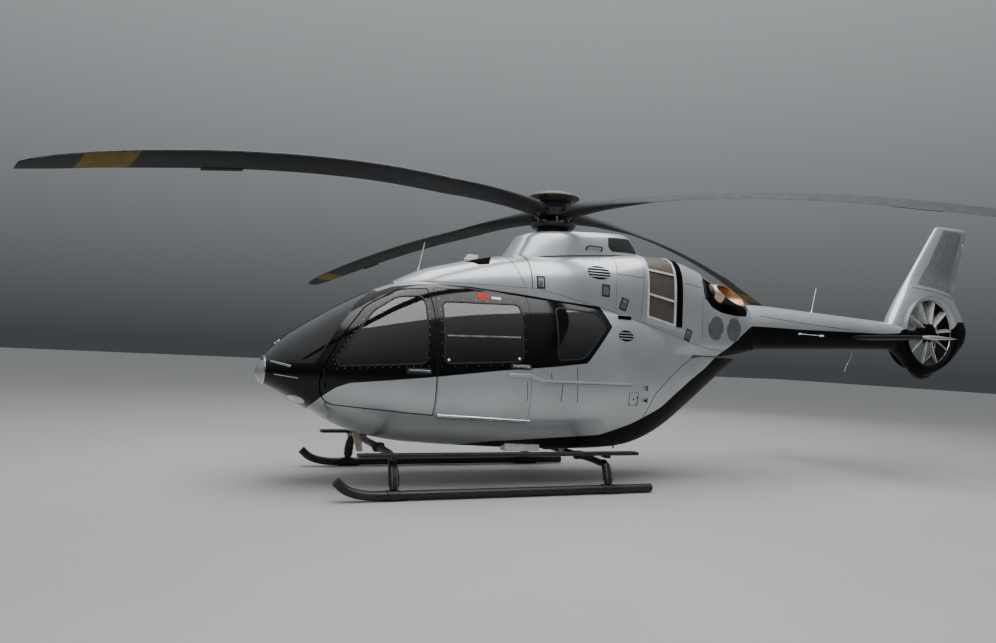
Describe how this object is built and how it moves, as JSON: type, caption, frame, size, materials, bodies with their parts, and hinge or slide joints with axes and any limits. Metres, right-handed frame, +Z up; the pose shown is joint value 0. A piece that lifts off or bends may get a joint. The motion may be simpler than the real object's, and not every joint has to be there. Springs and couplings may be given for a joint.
{
  "type": "helicopter",
  "caption": "Light twin-engine helicopter on skids with a shrouded tail fan, drooping main rotor, sliding cabin doors, hinged crew doors and rear clamshell doors.",
  "frame": {"origin": "centre of the overall box, blades included, on the ground plane under the skids", "axes": "+X aft along the tail boom, +Y to starboard, +Z up along the main rotor mast"},
  "size_m": [11.8384, 9.7435, 3.545],
  "materials": {
    "silver_paint": "metallic",
    "black_paint": "gloss",
    "dark_grey_paint": "satin",
    "tinted_glass": "clear",
    "blade_composite": "satin",
    "bare_metal": "satin",
    "hot_metal": "heat coloured",
    "mesh_screen": "woven mesh",
    "fan_metal": "satin",
    "black_rubber": "matte",
    "seat_leather": "satin",
    "cabin_lining": "matte",
    "panel_plastic": "matte"
  },
  "bodies": {
    "airframe": {"cabin_shell": "silver_paint", "belly_skin": "silver_paint", "front_cowling": "silver_paint", "engine_cowling": "silver_paint", "mast_fairing": "silver_paint", "tail_boom": "silver_paint", "fin_shroud": "silver_paint", "sliding_door_left": "silver_paint", "sliding_door_right": "silver_paint", "windscreen_left": "tinted_glass", "windscreen_right": "tinted_glass", "sliding_door_window_left": "tinted_glass", "sliding_door_window_right": "tinted_glass", "rear_window_left": "tinted_glass", "rear_window_right": "tinted_glass", "stabiliser_left": "black_paint", "stabiliser_right": "black_paint", "side_step_left": "black_paint", "side_step_right": "black_paint", "skid_tube_left": "dark_grey_paint", "skid_tube_right": "dark_grey_paint", "cross_tube_front": "dark_grey_paint", "cross_tube_rear": "dark_grey_paint", "main_gearbox": "bare_metal", "engine_left": "bare_metal", "engine_right": "bare_metal", "exhaust_left": "hot_metal", "exhaust_right": "hot_metal", "intake_grille_left": "mesh_screen", "intake_grille_right": "mesh_screen", "tail_fan_stator": "fan_metal", "tail_bumper": "black_rubber", "crew_seat_left": "seat_leather", "crew_seat_right": "seat_leather", "cabin_seat_row": "seat_leather", "cabin_floor": "cabin_lining", "instrument_panel": "panel_plastic"},
    "main_rotor": {"rotor_hub": "dark_grey_paint", "hub_cap": "dark_grey_paint", "swashplate": "bare_metal", "blade_1": "blade_composite", "blade_2": "blade_composite", "blade_3": "blade_composite", "blade_4": "blade_composite"},
    "fan_rotor": {"tail_fan": "fan_metal"},
    "crew_leaf_left": {"crew_door_left": "silver_paint", "crew_door_window_left": "tinted_glass"},
    "crew_leaf_right": {"crew_door_right": "silver_paint", "crew_door_window_right": "tinted_glass"},
    "clamshell_leaf_left": {"clamshell_door_left": "silver_paint"},
    "clamshell_leaf_right": {"clamshell_door_right": "silver_paint"}
  },
  "joints": [
    {"name": "main_rotor_spin", "type": "hinge", "parent": "airframe", "child": "main_rotor", "pos_m": [-1.048, 0, 3], "axis": [0, 0, 1], "continuous": true},
    {"name": "tail_fan_spin", "type": "hinge", "parent": "airframe", "child": "fan_rotor", "pos_m": [5.037, 0, 1.962], "axis": [0, 1, 0], "continuous": true},
    {"name": "crew_door_left_hinge", "type": "hinge", "parent": "airframe", "child": "crew_leaf_left", "pos_m": [-3.626, -0.576, 1], "axis": [0, 0, 1], "range_deg": [-75, 0]},
    {"name": "crew_door_right_hinge", "type": "hinge", "parent": "airframe", "child": "crew_leaf_right", "pos_m": [-3.626, 0.576, 1], "axis": [0, 0, 1], "range_deg": [0, 75]},
    {"name": "clamshell_left_hinge", "type": "hinge", "parent": "airframe", "child": "clamshell_leaf_left", "pos_m": [-0.178, -0.716, 1], "axis": [0, 0, 1], "range_deg": [-85, 0]},
    {"name": "clamshell_right_hinge", "type": "hinge", "parent": "airframe", "child": "clamshell_leaf_right", "pos_m": [-0.178, 0.716, 1], "axis": [0, 0, 1], "range_deg": [0, 85]}
  ]
}
